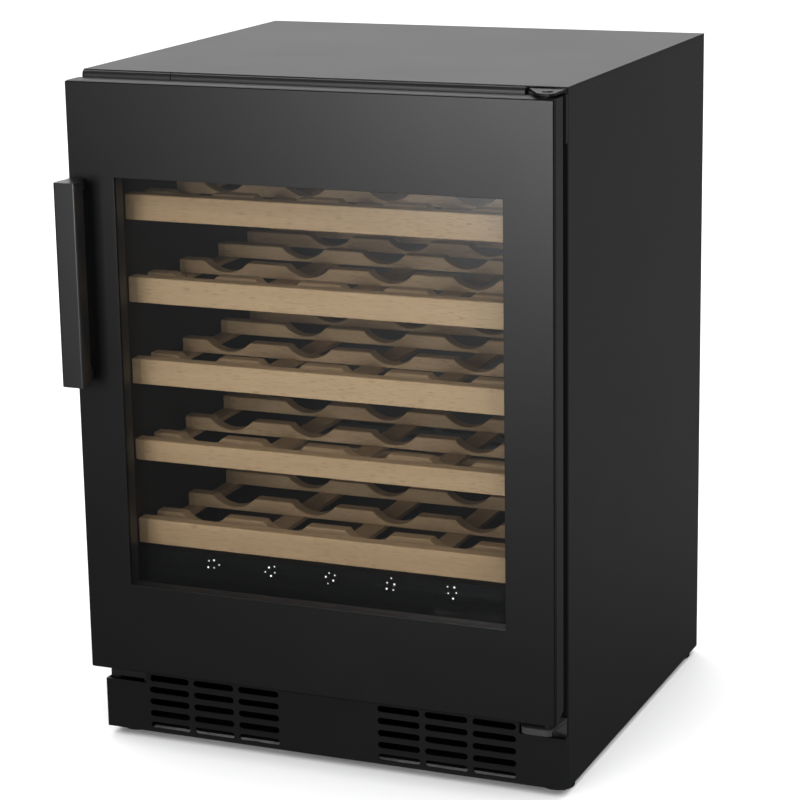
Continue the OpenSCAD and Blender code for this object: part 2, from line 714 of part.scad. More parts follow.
module shelf_rack(i) color(BEECH) in_place() {
  z = board_top(i);
  y0 = shelf_y + board_t;
  for (x = [-shelf_w / 2 + 0.5, shelf_w / 2 - 20.5])
    slab(x, x + 20, y0, shelf_y + shelf_d, z - rack_h, z - 20);
  for (x = [-bottle_pitch, 0, bottle_pitch]) slab(x - 14, x + 14, y0, shelf_y + shelf_d, z - rack_h, z - 20);
  for (y = [y0 + 26, y0 + 110]) cross_bar(y, z, -bottle_pitch / 4);
  for (y = [y0 + 216, y0 + 300]) cross_bar(y, z, bottle_pitch / 4);
  slab(-shelf_w / 2 + 3, shelf_w / 2 - 3, shelf_y + shelf_d - 12, shelf_y + shelf_d, z - 20, z - 3);
}

side_panel(-1);  // side_panel_left
side_panel(1);  // side_panel_right
top_panel();
back_panel();
base_pan();
front_frame();
inner_liner();
foam_insulation();
top_trim_strip();
left_hinge_cover();
corner_brackets();
top_hinge_plate();
bottom_hinge_bracket();
hinge_pins();
cabinet_screws();
plinth_grille();
foot(-1, 0);  // foot_front_left
foot(1, 0);  // foot_front_right
foot(-1, 1);  // foot_rear_left
foot(1, 1);  // foot_rear_right
shelf_rails(-1);  // shelf_rails_left
shelf_rails(1);  // shelf_rails_right
evaporator_cover();
evaporator_coil();
evaporator_fan_frame();
evaporator_fan_rotor();
carbon_filter();
temperature_sensor();
light_bar();
control_console();
control_fascia();
compressor();
compressor_grommets();
condenser_coil();
condenser_fan_shroud();
condenser_fan_rotor();
drip_tray();
electronics_box();
power_inlet();
refrigerant_pipes();
filter_drier();
door_skin();
door_frame();
outer_glass();
inner_glass();
glass_spacer();
door_gasket();
handle_bar();
handle_screws();
hinge_bushes();
shelf_board(1);  // shelf_1_board
shelf_board(2);  // shelf_2_board
shelf_board(3);  // shelf_3_board
shelf_board(4);  // shelf_4_board
shelf_board(5);  // shelf_5_board
shelf_rack(1);  // shelf_1_rack
shelf_rack(2);  // shelf_2_rack
shelf_rack(3);  // shelf_3_rack
shelf_rack(4);  // shelf_4_rack
shelf_rack(5);  // shelf_5_rack
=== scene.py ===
"""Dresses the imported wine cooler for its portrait: painted steel, moulded plastic, smoked glass, beech shelves
and the copper and steel of the cooling machinery, on a pale floor in soft studio light.

Everything is in metres in the model's own frame: +X right, +Y to the back, +Z up, floor at z = 0. Shapes are
surfaces on a grid of two parameters, worked out as whole arrays. MM turns the small sizes into metres.
"""

import json
import math

import bmesh
import bpy
import numpy as np
from mathutils import Matrix, Vector


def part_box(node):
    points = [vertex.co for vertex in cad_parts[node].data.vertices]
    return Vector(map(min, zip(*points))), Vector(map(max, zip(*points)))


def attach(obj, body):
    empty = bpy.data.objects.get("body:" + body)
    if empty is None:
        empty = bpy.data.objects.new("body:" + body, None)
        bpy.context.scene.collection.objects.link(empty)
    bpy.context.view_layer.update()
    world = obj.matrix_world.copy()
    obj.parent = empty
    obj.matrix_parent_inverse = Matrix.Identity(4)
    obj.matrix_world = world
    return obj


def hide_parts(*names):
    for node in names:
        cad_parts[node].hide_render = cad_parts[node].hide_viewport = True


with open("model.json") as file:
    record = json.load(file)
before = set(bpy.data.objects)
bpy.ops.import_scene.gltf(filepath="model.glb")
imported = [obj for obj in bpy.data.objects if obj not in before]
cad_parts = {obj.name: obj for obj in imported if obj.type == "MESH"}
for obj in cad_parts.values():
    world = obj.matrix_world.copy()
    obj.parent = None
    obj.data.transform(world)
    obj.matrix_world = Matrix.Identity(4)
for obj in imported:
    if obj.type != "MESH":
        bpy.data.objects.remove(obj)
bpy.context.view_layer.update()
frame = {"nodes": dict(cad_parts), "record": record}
record = frame["record"]
MM = 0.001

body_of = {node: body for body, nodes in record["behaviour"]["bodies"].items() for node in nodes}
slot_of = {part["node"]: part["material_slot"] for part in record["subparts"]}


# ---------------------------------------------------------------- camera, floor and light

def camera():
    """A long lens in front of the right-hand corner, turned by azimuth, elevation and a slight roll."""
    azimuth, elevation, roll = (math.radians(a) for a in (22.807, 14.352, -0.964))
    forward = Vector((-math.sin(azimuth) * math.cos(elevation), math.cos(azimuth) * math.cos(elevation),
                      -math.sin(elevation)))
    level = Vector((math.cos(azimuth), math.sin(azimuth), 0))
    upright = level.cross(forward)
    right = level * math.cos(roll) + upright * math.sin(roll)
    up = upright * math.cos(roll) - level * math.sin(roll)
    made = bpy.data.objects.new("camera", bpy.data.cameras.new("camera"))
    made.data.sensor_width = 36
    made.data.lens = 118.84
    turn = Matrix((right, up, -forward)).transposed().to_4x4()
    made.matrix_world = Matrix.Translation((1.2266, -2.9079, 1.2019)) @ turn
    bpy.context.scene.collection.objects.link(made)
    bpy.context.scene.camera = made


def softbox(name, place, target, width, height, power, colour=(1, 1, 1), in_gloss=True):
    """A rectangular area light at a place, facing a target."""
    light = bpy.data.lights.new(name, "AREA")
    light.shape = "RECTANGLE"
    light.size = width
    light.size_y = height
    light.energy = power
    light.color = colour
    made = bpy.data.objects.new(name, light)
    made.location = place
    made.rotation_euler = (Vector(target) - Vector(place)).to_track_quat("-Z", "Y").to_euler()
    made.visible_camera = False
    made.visible_glossy = in_gloss
    bpy.context.scene.collection.objects.link(made)


def studio():
    """The pale floor, which gloss doesn't mirror, an even grey sky, a broad light straight down and four softboxes."""
    bpy.context.scene.view_settings.view_transform = "Standard"
    world = bpy.data.worlds.new("studio")
    world.use_nodes = True
    world.node_tree.nodes["Background"].inputs["Color"].default_value = (0.95, 0.97, 1.0, 1)
    world.node_tree.nodes["Background"].inputs["Strength"].default_value = 0.07
    bpy.context.scene.world = world
    softbox("front_box", (-0.35, -3.0, 0.95), (0.2, -0.2, 0.7), 1.1, 1.2, 50)
    softbox("rear_box", (-1.2, 4.2, 2.6), (0, 0, 0.8), 5.0, 2.4, 58)
    softbox("side_box", (1.4, 3.0, 0.1), (0.3, 0, 0.3), 2.4, 2.0, 2.6)
    softbox("key", (2.0, -2.4, 1.5), (0, 0, 0.4), 1.6, 1.6, 30, in_gloss=False)
    sky = bpy.data.objects.new("sky", bpy.data.lights.new("sky", "SUN"))
    sky.data.energy = 4.6
    sky.data.angle = math.radians(120)
    sky.visible_glossy = False
    bpy.context.scene.collection.objects.link(sky)
    size = 60
    mesh = bpy.data.meshes.new("floor")
    corners = [(-size, -size, 0), (size, -size, 0), (size, size, 0), (-size, size, 0)]
    mesh.from_pydata(corners, [], [(0, 1, 2, 3)])
    floor = bpy.data.objects.new("floor", mesh)
    bpy.context.scene.collection.objects.link(floor)
    floor.visible_glossy = False
    paper = bpy.data.materials.new("floor_paper")
    paper.use_nodes = True
    paper.node_tree.nodes["Principled BSDF"].inputs["Base Color"].default_value = (0.86, 0.86, 0.86, 1)
    paper.node_tree.nodes["Principled BSDF"].inputs["Roughness"].default_value = 0.9
    mesh.materials.append(paper)


# ---------------------------------------------------------------- finishes

class Term:
    """A node's output that can be reckoned with: each operator adds one Math node."""

    def __init__(self, finish, socket):
        self.finish = finish
        self.socket = socket

    def _math(self, operation, first, second):
        return self.finish.node("ShaderNodeMath", {"operation": operation}, {0: first, 1: second})

    def __add__(self, other):
        return self._math("ADD", self, other)

    def __radd__(self, other):
        return self._math("ADD", other, self)

    def __sub__(self, other):
        return self._math("SUBTRACT", self, other)

    def __rsub__(self, other):
        return self._math("SUBTRACT", other, self)

    def __mul__(self, other):
        return self._math("MULTIPLY", self, other)

    def __rmul__(self, other):
        return self._math("MULTIPLY", other, self)

    def __truediv__(self, other):
        return self._math("DIVIDE", self, other)

    def __pow__(self, other):
        return self._math("POWER", self, other)

    def __gt__(self, other):
        return self._math("GREATER_THAN", self, other)


class Finish:
    """One procedural material round a Principled shader."""

    def __init__(self, name, **constants):
        self.material = bpy.data.materials.new(name)
        self.material.use_nodes = True
        self.tree = self.material.node_tree
        self.shader = self.tree.nodes["Principled BSDF"]
        self.set(**constants)

    def node(self, kind, settings=None, inputs=None, output=0):
        """Adds a node of a type: its settings first, then the values or links of its sockets."""
        made = self.tree.nodes.new(kind)
        for key, value in (settings or {}).items():
            setattr(made, key, value)
        for key, value in (inputs or {}).items():
            self.feed(made.inputs[key], value)
        return Term(self, made.outputs[output])

    def feed(self, socket, value):
        """A link if the value is a Term, or else the socket's own number."""
        if isinstance(value, Term):
            self.tree.links.new(value.socket, socket)
        else:
            socket.default_value = value

    def set(self, **sockets):
        """Feeds the Principled shader's sockets, named with underscores for spaces."""
        for key, value in sockets.items():
            self.feed(self.shader.inputs[key.replace("_", " ")], value)

    def place(self, stretch=(1, 1, 1)):
        """Object coordinates in metres, stretched along each axis."""
        here = self.node("ShaderNodeTexCoord", output="Object")
        return self.node("ShaderNodeMapping", inputs={"Vector": here, "Scale": stretch})

    def axis(self, letter):
        """One of the three object coordinates, in metres."""
        here = self.node("ShaderNodeTexCoord", output="Object")
        return self.node("ShaderNodeSeparateXYZ", inputs={"Vector": here}, output=letter)

    def noise(self, scale, detail=2.0, stretch=(1, 1, 1), warp=0.0):
        return self.node("ShaderNodeTexNoise", inputs={"Vector": self.place(stretch), "Scale": scale,
                         "Detail": detail, "Distortion": warp}, output=0)

    def cells(self, scale, stretch=(1, 1, 1)):
        return self.node("ShaderNodeTexVoronoi", inputs={"Vector": self.place(stretch), "Scale": scale})

    def between(self, factor, first, second):
        """A colour part of the way from the first to the second."""
        settings = {"data_type": "RGBA"}
        return self.node("ShaderNodeMix", settings, {0: factor, 6: first, 7: second}, output=2)

    def ramp(self, factor, low, high):
        """Factor carried from low..high to 0..1, held at both ends."""
        return self.node("ShaderNodeMapRange", {"clamp": True},
                         {"Value": factor, "From Min": low, "From Max": high})

    def relief(self, height, depth):
        """Bump of a height pattern, depth metres deep."""
        bump = self.node("ShaderNodeBump", inputs={"Height": height, "Distance": depth, "Strength": 1.0})
        self.set(Normal=bump)


def grey(value, alpha=1.0):
    return (value, value, value, alpha)


def painted_steel(name, tone, roughness, specular, peel=0.00002):
    """Powder-coated steel: near-black, with a fine orange peel and a faint cloudiness in the gloss."""
    made = Finish(name, Specular_IOR_Level=specular)
    cloud = made.noise(9, 3)
    grain = made.noise(1500, 2)
    speckle = made.noise(3200, 0)
    made.set(Base_Color=made.between(cloud * 0.5 + speckle * 0.5, grey(tone * 0.85), grey(tone * 1.2)),
             Roughness=roughness + 0.05 * cloud + 0.03 * grain)
    made.relief(grain, peel)
    return made.material


def moulded_plastic(name, colour, roughness, texture=0.00003, specular=0.4):
    """Moulded plastic with a fine spark-eroded texture."""
    made = Finish(name, Specular_IOR_Level=specular)
    pits = made.cells(2600)
    cloud = made.noise(14, 2)
    light = tuple(min(c * 1.25 + 0.002, 1) for c in colour[:3]) + (1,)
    made.set(Base_Color=made.between(cloud * 0.6 + pits * 0.3, colour, light),
             Roughness=roughness + 0.1 * pits + 0.04 * cloud)
    made.relief(pits, texture)
    return made.material


def rubber():
    """Soft black rubber with a bloom of dust in its hollows."""
    made = Finish("gasket_rubber", Specular_IOR_Level=0.25)
    bloom = made.noise(60, 4)
    grain = made.noise(2200, 1)
    made.set(Base_Color=made.between(made.ramp(bloom, 0.4, 0.75), grey(0.006), grey(0.018)),
             Roughness=0.68 + 0.12 * grain)
    made.relief(grain, 0.00004)
    return made.material


def plated_steel(name, tone, roughness, stretch=(1, 1, 1)):
    """Zinc-plated steel: a faint spangle, brushed along one axis."""
    made = Finish(name, Metallic=1.0)
    spangle = made.cells(90)
    brushed = made.noise(700, 3, stretch)
    made.set(Base_Color=made.between(spangle * 0.7 + brushed * 0.3, grey(tone * 0.8), grey(tone)),
             Roughness=roughness + 0.12 * brushed + 0.08 * spangle)
    made.relief(brushed, 0.00002)
    return made.material


def copper():
    """Drawn copper tube, dulled here and there."""
    made = Finish("copper_tube", Metallic=1.0)
    dull = made.noise(45, 4)
    drawn = made.noise(600, 2)
    made.set(Base_Color=made.between(made.ramp(dull, 0.35, 0.7), (0.80, 0.42, 0.26, 1), (0.45, 0.22, 0.13,
             1)),
             Roughness=0.24 + 0.25 * dull)
    made.relief(drawn, 0.00002)
    return made.material


def beech():
    """Steamed beech: warm growth bands along X, short dark pores, and a darker end strip on each side."""
    made = Finish("beech_wood", Specular_IOR_Level=0.35)
    bands = made.noise(26, 4, (0.07, 1, 1), 0.6)
    fibre = made.noise(420, 3, (0.03, 1, 1))
    pores = made.ramp(made.noise(900, 0, (0.09, 1, 1)), 0.63, 0.72)
    across = made.node("ShaderNodeMath", {"operation": "ABSOLUTE"}, {0: made.axis("X")})
    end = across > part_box("shelf_1_board")[1].x - 12 * MM
    wood = made.between(made.ramp(bands, 0.35, 0.68), (0.47, 0.315, 0.165, 1), (0.36, 0.225, 0.11, 1))
    wood = made.between(fibre * 0.5, wood, (0.53, 0.375, 0.21, 1))
    wood = made.between(pores * 0.45, wood, (0.26, 0.15, 0.075, 1))
    wood = made.between(end * 0.45, wood, (0.30, 0.20, 0.115, 1))
    made.set(Base_Color=wood, Roughness=0.44 + 0.14 * fibre + 0.1 * pores)
    made.relief(fibre * 0.5 - pores, 0.00008)
    return made.material


def smoked_glass():
    """Clear to look through with a grey tint, and a mirror that grows towards grazing angles."""
    made = Finish("smoked_glass")
    tree = made.tree
    tree.nodes.remove(made.shader)
    facing = made.node("ShaderNodeLayerWeight", inputs={"Blend": 0.5}, output="Facing")
    share = 0.026 + 0.75 * facing ** 5
    clear = made.node("ShaderNodeBsdfTransparent", inputs={"Color": (0.93, 0.935, 0.94, 1)})
    gloss = made.node("ShaderNodeBsdfGlossy", inputs={"Color": grey(0.95), "Roughness": 0.20})
    mixed = made.node("ShaderNodeMixShader", inputs={0: share, 1: clear, 2: gloss})
    made.feed(tree.nodes["Material Output"].inputs["Surface"], mixed)
    return made.material


def gloss_black():
    """The touch strip: black acrylic with fine hairlines in the gloss."""
    made = Finish("touch_acrylic", Specular_IOR_Level=0.5)
    lines = made.noise(900, 1, (0.05, 1, 1))
    made.set(Base_Color=made.between(lines, grey(0.003), grey(0.006)), Roughness=0.08 + 0.06 * lines)
    return made.material


def lamp_lens():
    """Frosted lens of the light bar, which glows a little between its diodes."""
    made = Finish("lamp_lens", Roughness=0.4)
    wave = made.node("ShaderNodeMath", {"operation": "SINE"}, {0: made.axis("X") * (2 * math.pi / 0.03)})
    made.set(Base_Color=made.between(made.noise(300, 2), (0.80, 0.80, 0.76, 1), (0.90, 0.90, 0.87, 1)),
             Emission_Color=made.between(wave * 0.5 + 0.5, (0.75, 0.72, 0.62, 1), (1.0, 0.97, 0.88, 1)),
             Emission_Strength=1.2)
    return made.material


def foam():
    """Blown polyurethane with small open cells."""
    made = Finish("foam", Specular_IOR_Level=0.1)
    pits = made.cells(500)
    made.set(Base_Color=made.between(pits, (0.62, 0.50, 0.25, 1), (0.80, 0.70, 0.42, 1)),
             Roughness=0.85 + 0.1 * pits)
    made.relief(pits, 0.0006)
    return made.material


finishes = {
    "black_paint": painted_steel("cabinet_paint", 0.006, 0.40, 0.5),
    "door_paint": painted_steel("door_paint", 0.0025, 0.33, 0.46),
    "handle_black": painted_steel("handle_paint", 0.006, 0.30, 0.95, 0.00001),
    "compressor_enamel": painted_steel("compressor_enamel", 0.008, 0.2, 0.5, 0.00004),
    "hinge_paint": painted_steel("hinge_paint", 0.006, 0.38, 0.2, 0.00001),
    "bracket_paint": painted_steel("bracket_paint", 0.026, 0.35, 0.3, 0.00001),
    "pan_paint": painted_steel("pan_paint", 0.003, 0.9, 0.03),
    "hinge_steel": plated_steel("hinge_steel", 0.12, 0.34),
    "galvanised_steel": plated_steel("galvanised_steel", 0.62, 0.34),
    "black_plastic": moulded_plastic("black_plastic", grey(0.006), 0.38, specular=0.7),
    "liner_plastic": moulded_plastic("liner_plastic", grey(0.009), 0.5, 0.00002),
    "fan_plastic": moulded_plastic("fan_plastic", grey(0.02), 0.4),
    "bush_plastic": moulded_plastic("bush_plastic", grey(0.006), 0.4),
    "rubber": rubber(),
    "copper": copper(),
    "beech": beech(),
    "tinted_glass": smoked_glass(),
    "gloss_black": gloss_black(),
    "lamp_lens": lamp_lens(),
    "foam": foam(),
}


# ---------------------------------------------------------------- shapes

def grid_faces(rows, columns, close_rows=False):
    """The quads of a grid of points whose columns run round in a ring, as corner numbers."""
    row, column = np.meshgrid(np.arange(rows if close_rows else rows - 1), np.arange(columns), indexing="ij")
    row, column = row.ravel(), column.ravel()
    below, beside = (row + 1) % rows, (column + 1) % columns
    return np.stack([row * columns + column, row * columns + beside, below * columns + beside,
                     below * columns + column], axis=1).tolist()


def skin(points, close_rows=False, cap=True):
    """A surface through a grid of points: rows of closed rings, joined in a loop or closed by two end faces."""
    rows, columns = points.shape[:2]
    faces = grid_faces(rows, columns, close_rows)
    if cap and not close_rows:
        faces.append(list(range(columns)))
        faces.append(list(range((rows - 1) * columns, rows * columns)))
    return points.reshape(-1, 3), faces


def together(*shapes):
    """Several shapes as one."""
    points, faces, count = [], [], 0
    for part_points, part_faces in shapes:
        points.append(part_points)
        faces += [[corner + count for corner in face] for face in part_faces]
        count += len(part_points)
    return np.concatenate(points), faces


def ring(half_a, half_b, radius, arc=4):
    """A rectangle's outline with rounded corners: each corner's centre plus radius times (cos, sin)."""
    radius = min(radius, half_a, half_b)
    quarter = np.linspace(0, math.pi / 2, arc + 1)
    angle = np.concatenate([quarter + turn * math.pi / 2 for turn in range(4)])
    sign_a = np.repeat([1, -1, -1, 1], arc + 1)
    sign_b = np.repeat([1, 1, -1, -1], arc + 1)
    return np.stack([sign_a * (half_a - radius) + radius * np.cos(angle),
                     sign_b * (half_b - radius) + radius * np.sin(angle)], axis=1)


def rounded_block(low, high, radius, axis=2, arc=3):
    """A box with all edges rounded: a rounded outline carried along one axis, and drawn in at both ends by
    radius - sqrt(radius^2 - depth^2)."""
    low, high = np.array(low, float), np.array(high, float)
    middle, half = (low + high) / 2, (high - low) / 2
    first, second = [a for a in range(3) if a != axis]
    radius = min(radius, *half)
    turn = np.linspace(0, math.pi / 2, arc + 1)
    along = np.concatenate([-half[axis] + radius * (1 - np.cos(turn)),
                           half[axis] - radius * (1 - np.sin(turn))])
    inset = np.concatenate([radius * (1 - np.sin(turn)), radius * (1 - np.cos(turn))])
    rows = []
    for place, drawn_in in zip(along, inset):
        outline = ring(half[first] - drawn_in, half[second] - drawn_in,
                       max(radius - drawn_in, radius * 0.15), arc)
        row = np.zeros((len(outline), 3))
        row[:, first], row[:, second], row[:, axis] = outline[:, 0], outline[:, 1], place
        rows.append(row + middle)
    return skin(np.array(rows))


def nested_rings(rows, middle_x=0.0, arc=4, close=True):
    """Upright rounded rectangles one inside or behind the other, each (half width, bottom, top, corner radius, y),
    joined into a closed loop of walls or a capped body."""
    made = []
    for half, bottom, top, radius, y in rows:
        outline = ring(half, (top - bottom) / 2, radius, arc)
        made.append(np.stack([outline[:, 0] + middle_x, np.full(len(outline), y),
                              outline[:, 1] + (bottom + top) / 2], axis=1))
    return skin(np.array(made), close_rows=close)


def turned(profile, centre, axis=2, steps=48):
    """A profile of (radius, distance along) turned round an axis through a centre."""
    profile = np.array(profile, float)
    angle = np.linspace(0, 2 * math.pi, steps, endpoint=False)
    first, second = [a for a in range(3) if a != axis]
    points = np.zeros((len(profile), steps, 3))
    points[:, :, first] = profile[:, :1] * np.cos(angle)
    points[:, :, second] = profile[:, :1] * np.sin(angle)
    points[:, :, axis] = profile[:, 1:]
    return skin(points + np.array(centre), cap=True)


def extruded(outline, start, end, axis=0, edge=0.0, arc=2):
    """A closed outline in the other two axes carried from start to end. With an edge radius the outline's points
    are drawn towards its middle near both ends."""
    outline = np.array(outline, float)
    first, second = [a for a in range(3) if a != axis]
    centre = (outline.min(0) + outline.max(0)) / 2
    half = (outline.max(0) - outline.min(0)) / 2
    turn = np.linspace(0, math.pi / 2, arc + 1)
    along = np.concatenate([start + edge * (1 - np.cos(turn)), end - edge * (1 - np.sin(turn))])
    inset = np.concatenate([edge * (1 - np.sin(turn)), edge * (1 - np.cos(turn))])
    share = 1 - inset[:, None] / half
    points = np.zeros((len(along), len(outline), 3))
    points[:, :, first] = centre[0] + (outline[:, 0] - centre[0]) * share[:, :1]
    points[:, :, second] = centre[1] + (outline[:, 1] - centre[1]) * share[:, 1:]
    points[:, :, axis] = along[:, None]
    return skin(points)


def bend_corners(points, radius, steps=5):
    """A path through corner points with each corner eased into a curve: (1-t)^2 a + 2t(1-t) b + t^2 c."""
    points = [np.array(p, float) for p in points]
    path = [points[0]]
    t = np.linspace(0, 1, steps + 1)[:, None]
    for before, corner, after in zip(points, points[1:], points[2:]):
        back, on = before - corner, after - corner
        reach = min(radius, np.linalg.norm(back) * 0.45, np.linalg.norm(on) * 0.45)
        a = corner + back / np.linalg.norm(back) * reach
        c = corner + on / np.linalg.norm(on) * reach
        path += list((1 - t) ** 2 * a + 2 * t * (1 - t) * corner + t ** 2 * c)
    return np.array(path + [points[-1]])


def tube(path, radius, sides=14):
    """A round tube along a path: rings of radius times (cos, sin) across frames that turn as little as they can."""
    path = np.array(path, float)
    tangent = np.gradient(path, axis=0)
    tangent /= np.linalg.norm(tangent, axis=1, keepdims=True)
    side = np.cross(tangent[0], [0.3, 0.5, 0.8])
    sideways = []
    for direction in tangent:
        side = side - direction * (side @ direction)
        side = side / np.linalg.norm(side)
        sideways.append(side)
    sideways = np.array(sideways)
    across = np.cross(tangent, sideways)
    angle = np.linspace(0, 2 * math.pi, sides, endpoint=False)
    rings = (path[:, None] + radius * (np.cos(angle)[None, :, None] * sideways[:, None]
                                       + np.sin(angle)[None, :, None] * across[:, None]))
    return skin(rings)


# ---------------------------------------------------------------- pieces

def piece(name, shape, node=None, body=None, slot=None, width=0.0, smooth=40):
    """Puts a shape into a mesh with outward faces, gives it its finish, and lets it ride and stand for a node."""
    mesh = bpy.data.meshes.new(name)
    mesh.from_pydata(shape[0].tolist(), [], shape[1])
    work = bmesh.new()
    work.from_mesh(mesh)
    bmesh.ops.remove_doubles(work, verts=work.verts, dist=1e-6)
    bmesh.ops.recalc_face_normals(work, faces=work.faces)
    work.to_mesh(mesh)
    work.free()
    return dressed(name, mesh, node, body, slot, width, smooth)


def dressed(name, mesh, node, body, slot, width, smooth):
    """An object for a finished mesh: edges rounded by a Bevel if it has a width, and normals held flat on flats."""
    slot = slot or slot_of[node]
    made = bpy.data.objects.new(name, mesh)
    bpy.context.scene.collection.objects.link(made)
    mesh.materials.clear()
    mesh.materials.append(finishes[slot])
    mesh.polygons.foreach_set("use_smooth", [True] * len(mesh.polygons))
    mesh.set_sharp_from_angle(angle=math.radians(smooth))
    if width:
        bevel = made.modifiers.new("rounded_edges", "BEVEL")
        bevel.width = width
        bevel.segments = 2
        bevel.limit_method = "ANGLE"
        bevel.angle_limit = math.radians(35)
    steady = made.modifiers.new("steady_normals", "WEIGHTED_NORMAL")
    steady.keep_sharp = not width
    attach(made, body or body_of[node])
    if node:
        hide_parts(node)
    return made


def softened(node, width=0.5 * MM):
    """A copy of a CAD node with its corners merged, its flats joined and its edges rounded."""
    mesh = frame["nodes"][node].data.copy()
    work = bmesh.new()
    work.from_mesh(mesh)
    bmesh.ops.remove_doubles(work, verts=work.verts, dist=1e-6)
    bmesh.ops.dissolve_limit(work, angle_limit=math.radians(0.5), verts=work.verts, edges=work.edges)
    work.to_mesh(mesh)
    work.free()
    return dressed(node + "_shell", mesh, node, None, None, width, 35)


def side_panels():
    """Each side is one sheet, its section a C with rounded bends at the front and rear, carried up the height."""
    for side, node in ((-1, "side_panel_left"), (1, "side_panel_right")):
        low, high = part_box(node)
        sheet, bend = 1.2 * MM, 1.6 * MM
        width = high.x - low.x
        quarter = np.linspace(0, math.pi / 2, 5)
        outer = np.concatenate([[[0, 0]],
                                np.stack([width - bend + bend * np.sin(quarter),
                                          bend - bend * np.cos(quarter)], axis=1)])
        inner_bend = bend - sheet
        inner = np.concatenate([np.stack([width - bend + inner_bend * np.sin(quarter),
                                          bend - inner_bend * np.cos(quarter)], axis=1)[::-1], [[0, sheet]]])
        depth = high.y - low.y
        back = [1, -1] * outer[::-1] + [0, depth]
        back_inner = [1, -1] * inner[::-1] + [0, depth]
        outline = np.concatenate([outer, back, back_inner, inner])
        x = (low.x + outline[:, 0]) if side > 0 else (high.x - outline[:, 0])
        shape = extruded(np.stack([x, low.y + outline[:, 1]], axis=1), low.z, high.z, axis=2)
        piece(node + "_sheet", shape, node)


def top_panel():
    low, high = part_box("top_panel")
    piece("top_sheet", rounded_block(low, high, 0.5 * MM), "top_panel")


def trim_section():
    """The trim over the door, seen from its end as (y, z): a round nose above a shallow shadow groove."""
    low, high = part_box("top_trim_strip")
    nose = 5 * MM
    turn = np.linspace(math.pi / 2, math.pi, 9)
    middle = (low.y + nose, high.z - nose)
    arc = np.stack([middle[0] + nose * np.cos(turn), middle[1] + nose * np.sin(turn)], axis=1)
    groove_z, groove = low.z + 4.2 * MM, 0.9 * MM
    front = [(low.y, groove_z + groove), (low.y + 1.2 * MM, groove_z + groove * 0.4),
             (low.y + 1.2 * MM, groove_z - groove * 0.4), (low.y, groove_z - groove), (low.y,
                                                                                       low.z + 0.6 * MM),
             (low.y + 0.6 * MM, low.z), (high.y, low.z), (high.y, high.z)]
    return np.concatenate([arc, front])


def top_trim():
    """The trim strip and the cap over the unused left hinge, which share one section."""
    for node in ("top_trim_strip", "left_hinge_cover"):
        low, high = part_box(node)
        shape = extruded(trim_section(), low.x, high.x, axis=0, edge=0.5 * MM)
        if node == "left_hinge_cover":
            nose = 5.5 * MM
            outline = trim_section()
            steps = low.x + nose * (1 - np.cos(np.linspace(0, math.pi / 2, 7)))
            rows = []
            for x in list(steps) + [high.x - 0.5 * MM, high.x]:
                share = min(1.0, max(0.0, (low.x + nose - x) / nose))
                front = low.y + nose * (1 - math.sqrt(1 - share ** 2))
                squeeze = (high.y - front) / (high.y - low.y)
                rows.append(np.stack([np.full(len(outline), x), high.y + (outline[:, 0] - high.y) * squeeze,
                                      outline[:, 1]], axis=1))
            shape = skin(np.array(rows))
        piece(node + "_moulding", shape, node)


def door_skin():
    """One pressing: round the outside it folds back, and round the window its edge is eased. The section is a
    loop of rectangles from the window's edge to the fold and back along the inside."""
    low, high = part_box("door_skin")
    glass_low, glass_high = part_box("outer_glass")
    lap, sheet, fold = 11.5 * MM, 1.2 * MM, 1.8 * MM
    window = (glass_high.x - lap, glass_low.z + lap, glass_high.z - lap)
    front, back = low.y, high.y
    quarter = np.linspace(0, math.pi / 2, 5)

    def outside(inset, y, radius=1.5 * MM):
        return (high.x - inset, low.z + inset, high.z - inset, radius, y)

    def round_window(spread, y):
        return (window[0] + spread, window[1] - spread, window[2] + spread, 0.8 * MM, y)

    rows = [round_window(0, front + sheet), round_window(0, front + 0.5 * MM),
            round_window(0.15 * MM, front + 0.15 * MM),
            round_window(0.5 * MM, front)]
    rows += [outside(fold * (1 - math.sin(q)), front + fold * (1 - math.cos(q)), 2 * MM) for q in quarter]
    rows += [outside(0, back), outside(sheet, back), outside(sheet, front + sheet + 0.4 * MM),
             outside(sheet + 0.6 * MM, front + sheet)]
    piece("door_pressing", nested_rings(rows), "door_skin")


def gasket():
    """Magnetic gasket: a foot, two bellows and a magnet bead, carried round the door with mitred corners."""
    low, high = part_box("door_gasket")
    section = [(0, 0), (-2.0, 0), (-2.2, 1.2), (-5.0, 2.4), (-4.2, 3.6), (-5.8, 4.8), (-3.0, 6.0),
               (-0.8, 6.2),
               (-0.5, 7.0), (-0.5, 10.6), (-1.6, 11.5), (-11.6, 11.5), (-12.8, 10.6), (-12.8, 7.0), (-11.8,
                                                                                                     6.2),
               (-9.4, 6.0), (-7.8, 4.8), (-9.2, 3.6), (-8.2, 2.4), (-11.0, 1.4), (-13.6, 1.2), (-14, 0)]
    rows = [(high.x + out * MM, low.z - out * MM, high.z + out * MM, 2 * MM, low.y + back * MM)
            for out, back in section]
    piece("gasket_bellows", nested_rings(rows), "door_gasket", smooth=60)


def handle():
    """The pull: a bar of rounded section with eased ends, and two posts with a small fillet at the door."""
    low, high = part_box("handle_bar")
    door_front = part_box("door_skin")[0].y
    thick = 20.5 * MM
    outline = ring((high.x - low.x) / 2, thick / 2, 3.2 * MM, 6)
    outline = outline + [(low.x + high.x) / 2, low.y + thick / 2]
    shapes = [extruded(outline, low.z, high.z, axis=2, edge=0.9 * MM, arc=3)]
    wide, tall, inset = 18 * MM, 16 * MM, 0.3 * MM
    for bottom in (low.z, high.z - tall):
        shapes.append(rounded_block((low.x + inset, low.y + thick - 2 * MM, bottom + inset),
                                    (low.x + wide, door_front, bottom + tall - inset), 1.5 * MM, axis=1))
    piece("handle_pull", together(*shapes), "handle_bar")


